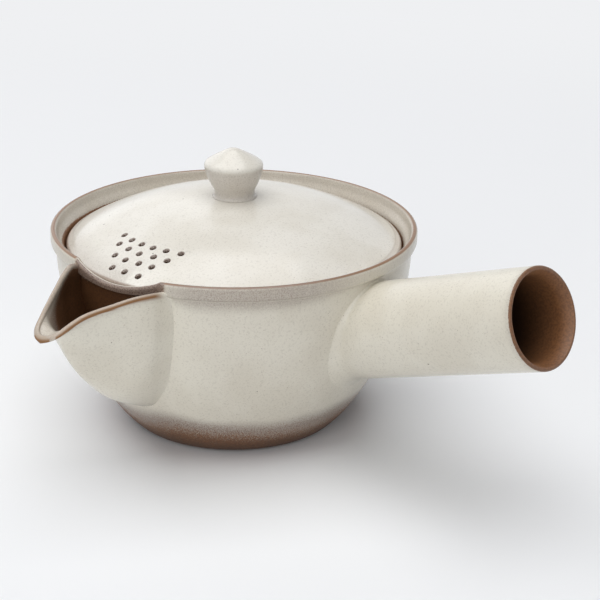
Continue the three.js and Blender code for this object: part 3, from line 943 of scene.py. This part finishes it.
print("lid")
lid = dict(
    radius=50.4, thickness=3.0, rise=13.2, roundness=2.25, edgeRound=0.8, edgeCrowding=1.35,
    brimFrom=48.3, brimDrop=0.08, brimAt=(-0.3, 0.2), around=300, rows=76,
    # four rows of holes, pierced by hand, so they wander a little
    holeDiameter=1.9, holeRound=0.17, holeLean=0.18, holeRows=(6, 5, 4, 3),
    rowRadii=(36.6, 39.7, 43.1, 46.9), rowSpacing=(4.7, 4.9, 5.0, 5.3), rowTurns=(-5.4, -5.0, -4.9, -3.9),
    wander=0.22, seed=7,
    # in a hole, by the depth below the dome, where the bare wall is painted darker as the shade inside the
    # hole
    holesTo=-30.0, holeMargin=0.08, holeDepths=(0.3, 2.2), mouthClay=0.25, holeClay=1.3, holeShade=0.7,
    holeWash=0.3,
    # the underside
    underFrom=0.6, seatAt=(-1.0, 0.4), underVeil=0.4, underUmber=0.1,
    # the edge and the brim, which is whiter towards the spout
    sideAt=(-0.7, -0.4), sideClay=0.35, sideUmber=0.35,
    edgeAt=(-0.9, -0.3), edgeVeil=0.6, edgeWash=0.5,
    thinAt=(42.0, 50.0), thinAngles=(90.0, 150.0), thinVeil=0.3,
    brimTintAt=(-0.2, 0.2), brimEnds=(-30.0, -46.0), brimTint=0.15, grooveAt=(0.2, 0.7), grooveVeil=0.3,
)


def lidTopAt(radius):
    # the dome, with a shallow brim turned round its edge
    brim = lid["brimDrop"] * smooth(*lid["brimAt"], radius - lid["brimFrom"])
    return bodyTop + lid["rise"] * (1 - (radius / lid["radius"]) ** lid["roundness"]) - brim


def lidHolePlaces():
    chance = random.Random(lid["seed"])
    reach = 0.3
    up = Vector((0.0, 0.0, 1.0))
    places = []
    rows = zip(lid["holeRows"], lid["rowRadii"], lid["rowSpacing"], lid["rowTurns"])
    for count, radius, spacing, turn in rows:
        for i in range(count):
            along = (i - (count - 1) / 2) * spacing + chance.uniform(-1, 1) * lid["wander"]
            away = radius + chance.uniform(-1, 1) * lid["wander"]
            a = pi + radians(turn) - along / radius
            outwards = Vector((cos(a), sin(a), 0.0))
            point = outwards * away + Vector((0.0, 0.0, lidTopAt(away)))
            slope = (lidTopAt(away - reach) - lidTopAt(away + reach)) / (2 * reach)
            direction = (outwards * lid["holeLean"] + up).normalized()
            places.append((point, direction, (outwards * slope + up).normalized()))
    return places


lidHoles = lidHolePlaces()


def inLidHole(p):
    reach = lid["holeDiameter"] / 2 + lid["holeMargin"]
    return any(fromAxis(p, centre, direction) < reach for centre, direction, normal in lidHoles)


def makeLid():
    r = lid["edgeRound"]
    rows = lid["rows"]
    seatInner = ledgeRadius - bowl["lidClearance"]
    outline = [(0.0, lidTopAt(0) - lid["thickness"])]
    for i in range(1, rows + 1):
        x = seatInner * i / rows
        outline.append((x, max(lidTopAt(x) - lid["thickness"], lidSeat)))
    outline.append((ledgeRadius, lidSeat))
    outline += arc(lid["radius"] - r, lidSeat + r, r, -90, 0, 4)
    outline += arc(lid["radius"] - r, bodyTop - r * 0.75, r, 0, 58, 5)
    edge = lid["radius"] - r * 0.75
    for i in range(rows + 1):
        x = edge * (1 - (i / rows) ** lid["edgeCrowding"])
        outline.append((x, lidTopAt(x)))
    piece = turnedPiece("lid_dome", outline, lid["around"])
    pierce(piece, lidHoles, lid["holeDiameter"], 2.5 * lid["rise"], lid["holeRound"])
    return piece


def lidPaint(p):
    c = lid
    radius = hypot(p.x, p.y)
    depth = lidTopAt(min(radius, lid["radius"])) - p.z
    fromEdge = radius - lid["radius"]
    fromBrim = radius - lid["brimFrom"]
    if p.x < c["holesTo"] and depth > 0.1 and inLidHole(p):
        # the hole's wall is bare clay, painted darker with depth as shade
        clay = shift(c["mouthClay"], c["holeClay"], c["holeDepths"], depth)
        return clay, 1.0, c["holeShade"], c["holeWash"]
    if depth > c["underFrom"] and fromEdge < c["edgeAt"][0]:
        # the seat is bare, the hidden underside thinly glazed
        return smooth(*c["seatAt"], radius - ledgeRadius), c["underVeil"], c["underUmber"], 0.0
    side = 1.0 - smooth(*c["sideAt"], p.z - bodyTop)
    edge = smooth(*c["edgeAt"], fromEdge)
    angle = degrees(atan2(p.y, p.x))
    thin = smooth(*c["thinAt"], radius) * smooth(*c["thinAngles"], angle)
    brim = smooth(*c["brimTintAt"], fromBrim) * (1.0 - smooth(*c["brimEnds"], p.x))
    groove = brim * (1.0 - smooth(*c["grooveAt"], fromBrim))
    veil = max(c["brimTint"] * brim, c["grooveVeil"] * groove, c["thinVeil"] * thin, c["edgeVeil"] * edge,
               side)
    return c["sideClay"] * side, veil, c["sideUmber"], max(c["brimTint"] * brim, c["edgeWash"] * edge)


print("knob")
knob = dict(
    neckRadius=5.9, shoulderRadius=8.8, shoulderHeight=9.4, height=14.4, clearance=0.3,
    # a soft fillet joins the neck to the lid, as (beyond the neck, above the lid)
    neckFillet=((0.8, -0.4), (0.62, -0.28), (0.3, -0.02), (0.1, 0.35)),
    lean=0.5, leanTowards=(-0.57, 0.82), around=112, neckRows=32, filletRows=3, coneRows=36,
    flankSoft=1.0, flankShade=0.3, flankShadeTint=0.06,
)
knobBase = bodyTop + lid["rise"] + knob["clearance"]
neckFlare = curve([(0, 0), (0.2, 0.08), (0.36, 0.34), (0.62, 0.72), (0.85, 0.94), (1, 1)])
coneSlope = curve([(0, 1), (0.14, 0.965), (0.3, 0.855), (0.66, 0.5), (0.93, 0.2), (0.985, 0.09), (1, 0)])


def makeKnob():
    k = knob
    shoulder = knobBase + k["shoulderHeight"]
    cone = k["height"] - k["shoulderHeight"]
    grow = k["shoulderRadius"] - k["neckRadius"]
    outline = [(0.0, knobBase + k["neckFillet"][0][1])]
    outline += [(k["neckRadius"] + beyond, knobBase + above) for beyond, above in k["neckFillet"]]
    for i in range(k["filletRows"], k["neckRows"] + 1):
        t = i / k["neckRows"]
        outline.append((k["neckRadius"] + grow * neckFlare(t), knobBase + k["shoulderHeight"] * t))
    for i in range(1, k["coneRows"]):
        t = sin(pi / 2 * i / k["coneRows"])
        outline.append((k["shoulderRadius"] * coneSlope(t), shoulder + cone * t))
    outline.append((0.0, knobBase + k["height"]))
    piece = turnedPiece("lid_knob", outline, k["around"])
    # thrown by hand, it leans a little
    for vertex in piece.data.vertices:
        share = (vertex.co.z / mm - knobBase) / k["height"]
        vertex.co.x += k["leanTowards"][0] * k["lean"] * share * mm
        vertex.co.y += k["leanTowards"][1] * k["lean"] * share * mm
    return piece


def knobPaint(p):
    shoulder = knobBase + knob["shoulderHeight"]
    # below the shoulder the flanks are painted darker and warmer, as the shade on the sides that face away
    # from the light
    flank = 1.0 - smooth(shoulder - knob["flankSoft"], shoulder, p.z)
    return 0.0, knob["flankShade"] * flank, 0.0, knob["flankShadeTint"] * flank


print("pieces ride on their bodies")
for make, paintAt, coat, node, body, slotName in (
    (makeBowl, bowlPaint, cream, "bowl", "pot", "glazed_stoneware"),
    (makeSpout, spoutPaint, cream, "spout", "pot", "glazed_stoneware"),
    (makeHandle, handlePaint, cream, "handle", "pot", "glazed_stoneware"),
    (makeLid, lidPaint, lidCreamPaintedLighter, "lid", "lid", "lid_glaze"),
    (makeKnob, knobPaint, lidCreamPaintedLighter, "knob", "lid", "lid_glaze"),
):
    piece = make()
    paint(piece, paintAt)
    piece.data.materials.clear()
    piece.data.materials.append(coat)
    polygons = piece.data.polygons
    polygons.foreach_set("material_index", [0] * len(polygons))
    polygons.foreach_set("use_smooth", [True] * len(polygons))
    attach(piece, body)
    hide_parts(node)
    print("  " + piece.name, len(polygons), "faces")

print("stage, light and camera")
# the floor's size and where it fades are in metres
stage = dict(
    floorColour="eff0f2", floorRoughness=0.95, floorSpecular=0.1, floorSize=14.0,
    backdropColour="eff0f2", fadeFrom=0.28, fadeTo=0.6,
)
sky = dict(lightColour="f4f6fa", strength=0.18, shownColour="f1f2f4")
# each lamp's name, direction, distance and size in metres, and watts
lamps = (
    ("overhead_window", (-0.1, 0.1, 1.0), 3.0, 3.4, 86.0),
    ("left_fill", (-1.0, -0.45, 0.55), 4.0, 4.0, 60.0),
    ("far_backdrop", (0.4, 0.9, 0.5), 5.0, 4.0, 30.0),
)
lampTarget = (0, 0, 0.03)
view = dict(place=(-355.26, -272.6, 215.38), target=(12.21, -15.92, 35.46), roll=0.97,
            focalPixels=1570.0, photoPixels=600, sensor=36.0)


def backgroundRays(tree):
    # the eye sees the backdrop directly, in reflections and through clear pieces
    path = add(tree, "ShaderNodeLightPath").outputs
    seen = calc(tree, "MAXIMUM", path["Is Camera Ray"], path["Is Glossy Ray"])
    return calc(tree, "MAXIMUM", seen, path["Is Transmission Ray"])


def makeStage():
    s = stage
    mesh = bpy.data.meshes.new("studio_floor")
    h = s["floorSize"] / 2
    mesh.from_pydata([(-h, -h, 0), (h, -h, 0), (h, h, 0), (-h, h, 0)], [], [(0, 1, 2, 3)])
    floor = addObject("studio_floor", mesh)
    material = bpy.data.materials.new("pale_matt_paper")
    tree = emptyTree(material)
    skin = add(tree, "ShaderNodeBsdfPrincipled", {
        "Base Color": linear(s["floorColour"]), "Roughness": s["floorRoughness"],
        "Specular IOR Level": s["floorSpecular"]})
    # away from the pot the eye sees an even white, as on an endless sheet of paper
    even = add(tree, "ShaderNodeEmission", {"Color": linear(s["backdropColour"])})
    place = add(tree, "ShaderNodeTexCoord").outputs["Object"]
    away = add(tree, "ShaderNodeVectorMath", {0: place}, operation="LENGTH").outputs["Value"]
    seen = calc(tree, "MULTIPLY", ramp(tree, away, s["fadeFrom"], s["fadeTo"]), backgroundRays(tree))
    mixed = add(tree, "ShaderNodeMixShader", {0: seen, 1: skin.outputs[0], 2: even.outputs[0]})
    add(tree, "ShaderNodeOutputMaterial", {0: mixed.outputs[0]})
    mesh.materials.append(material)


def addLamp(name, direction, distance, size, power):
    lamp = bpy.data.lights.new(name, "AREA")
    lamp.shape = "SQUARE"
    lamp.size = size
    lamp.energy = power
    holder = addObject(name, lamp)
    place = Vector(direction).normalized() * distance
    holder.location = place
    holder.rotation_euler = (Vector(lampTarget) - place).to_track_quat("-Z", "Y").to_euler()


def makeSky():
    world = bpy.data.worlds.new("studio")
    tree = emptyTree(world)
    light = add(tree, "ShaderNodeBackground", {
        "Color": linear(sky["lightColour"]), "Strength": sky["strength"]})
    shown = add(tree, "ShaderNodeBackground", {"Color": linear(sky["shownColour"])})
    mixed = add(tree, "ShaderNodeMixShader", {
        0: backgroundRays(tree), 1: light.outputs[0], 2: shown.outputs[0]})
    add(tree, "ShaderNodeOutputWorld", {0: mixed.outputs[0]})
    bpy.context.scene.world = world


def makeCamera():
    eye, target = Vector(view["place"]), Vector(view["target"])
    forward = (target - eye).normalized()
    right = forward.cross(Vector((0, 0, 1))).normalized()
    up = right.cross(forward)
    c, s = cos(radians(view["roll"])), sin(radians(view["roll"]))
    right, up = right * c + up * s, up * c - right * s
    data = bpy.data.cameras.new("photo_view")
    data.sensor_fit = "HORIZONTAL"
    data.sensor_width = view["sensor"]
    data.lens = view["sensor"] * view["focalPixels"] / view["photoPixels"]
    camera = addObject("photo_view", data)
    axes = Matrix((right, up, -forward)).transposed().to_4x4()
    camera.matrix_world = Matrix.Translation(eye * mm) @ axes
    bpy.context.scene.camera = camera


makeStage()
for lampSettings in lamps:
    addLamp(*lampSettings)
makeSky()
makeCamera()
bpy.context.scene.view_settings.view_transform = "Standard"
